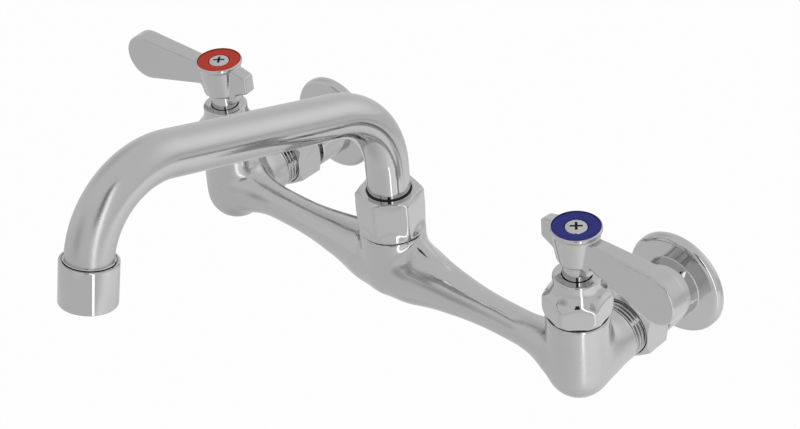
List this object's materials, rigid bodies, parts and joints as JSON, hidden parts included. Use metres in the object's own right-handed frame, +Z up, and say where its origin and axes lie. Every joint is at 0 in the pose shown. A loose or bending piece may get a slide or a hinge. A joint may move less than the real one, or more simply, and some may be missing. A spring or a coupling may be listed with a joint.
{
  "type": "wall-mounted mixing faucet",
  "caption": "Wall-mounted mixing faucet with hot and cold lever handles, union-nut inlets with wall flanges and a rigid swinging spout with an aerator.",
  "frame": {"origin": "the point on the wall midway between the two inlets, at the height of their axes", "axes": "+X from the hot inlet to the cold inlet, +Y into the wall (the faucet stands out towards -Y), +Z up"},
  "size_m": [0.3112, 0.2344, 0.1532],
  "materials": {
    "chrome": "polished plating on cast and drawn brass",
    "brass": "machined",
    "rubber": "black, dull",
    "fibre": "pressed fibre sheet",
    "ceramic": "lapped white ceramic",
    "plastic": "moulded",
    "steel": "fine machined",
    "hot_red": "smooth coloured ring",
    "cold_blue": "smooth coloured ring"
  },
  "bodies": {
    "body": {"faucet_body": "chrome", "hot_wall_flange": "chrome", "cold_wall_flange": "chrome", "hot_union_tail": "brass", "cold_union_tail": "brass", "hot_coupling_nut": "chrome", "cold_coupling_nut": "chrome", "hot_union_washer": "fibre", "cold_union_washer": "fibre", "hot_bonnet_gasket": "rubber", "cold_bonnet_gasket": "rubber", "hot_bonnet": "chrome", "cold_bonnet": "chrome", "hot_cartridge_housing": "brass", "cold_cartridge_housing": "brass", "hot_seat_seal": "rubber", "cold_seat_seal": "rubber", "hot_fixed_disc": "ceramic", "cold_fixed_disc": "ceramic", "spout_nut": "chrome", "friction_washer": "plastic", "split_ring": "brass"},
    "spout": {"spout_tube": "chrome", "spout_spigot": "brass", "spout_orings": "rubber", "wiper_ring": "rubber", "aerator_shell": "chrome", "aerator_washer": "rubber", "aerator_insert": "plastic", "aerator_screen": "steel"},
    "hot_handle": {"hot_lever": "chrome", "hot_index_ring": "hot_red", "hot_handle_screw": "steel", "hot_stem": "brass", "hot_turning_disc": "ceramic", "hot_stem_orings": "rubber", "hot_stem_clip": "steel"},
    "cold_handle": {"cold_lever": "chrome", "cold_index_ring": "cold_blue", "cold_handle_screw": "steel", "cold_stem": "brass", "cold_turning_disc": "ceramic", "cold_stem_orings": "rubber", "cold_stem_clip": "steel"}
  },
  "joints": [
    {"name": "spout_swivel", "type": "hinge", "parent": "body", "child": "spout", "pos_m": [0, -0.067, 0.035], "axis": [0, 0, 1], "range_deg": [-105, 105]},
    {"name": "hot_valve", "type": "hinge", "parent": "body", "child": "hot_handle", "pos_m": [-0.1016, -0.067, 0.045], "axis": [0, 0, 1], "range_deg": [0, 90]},
    {"name": "cold_valve", "type": "hinge", "parent": "body", "child": "cold_handle", "pos_m": [0.1016, -0.067, 0.045], "axis": [0, 0, 1], "range_deg": [-90, 0]}
  ]
}
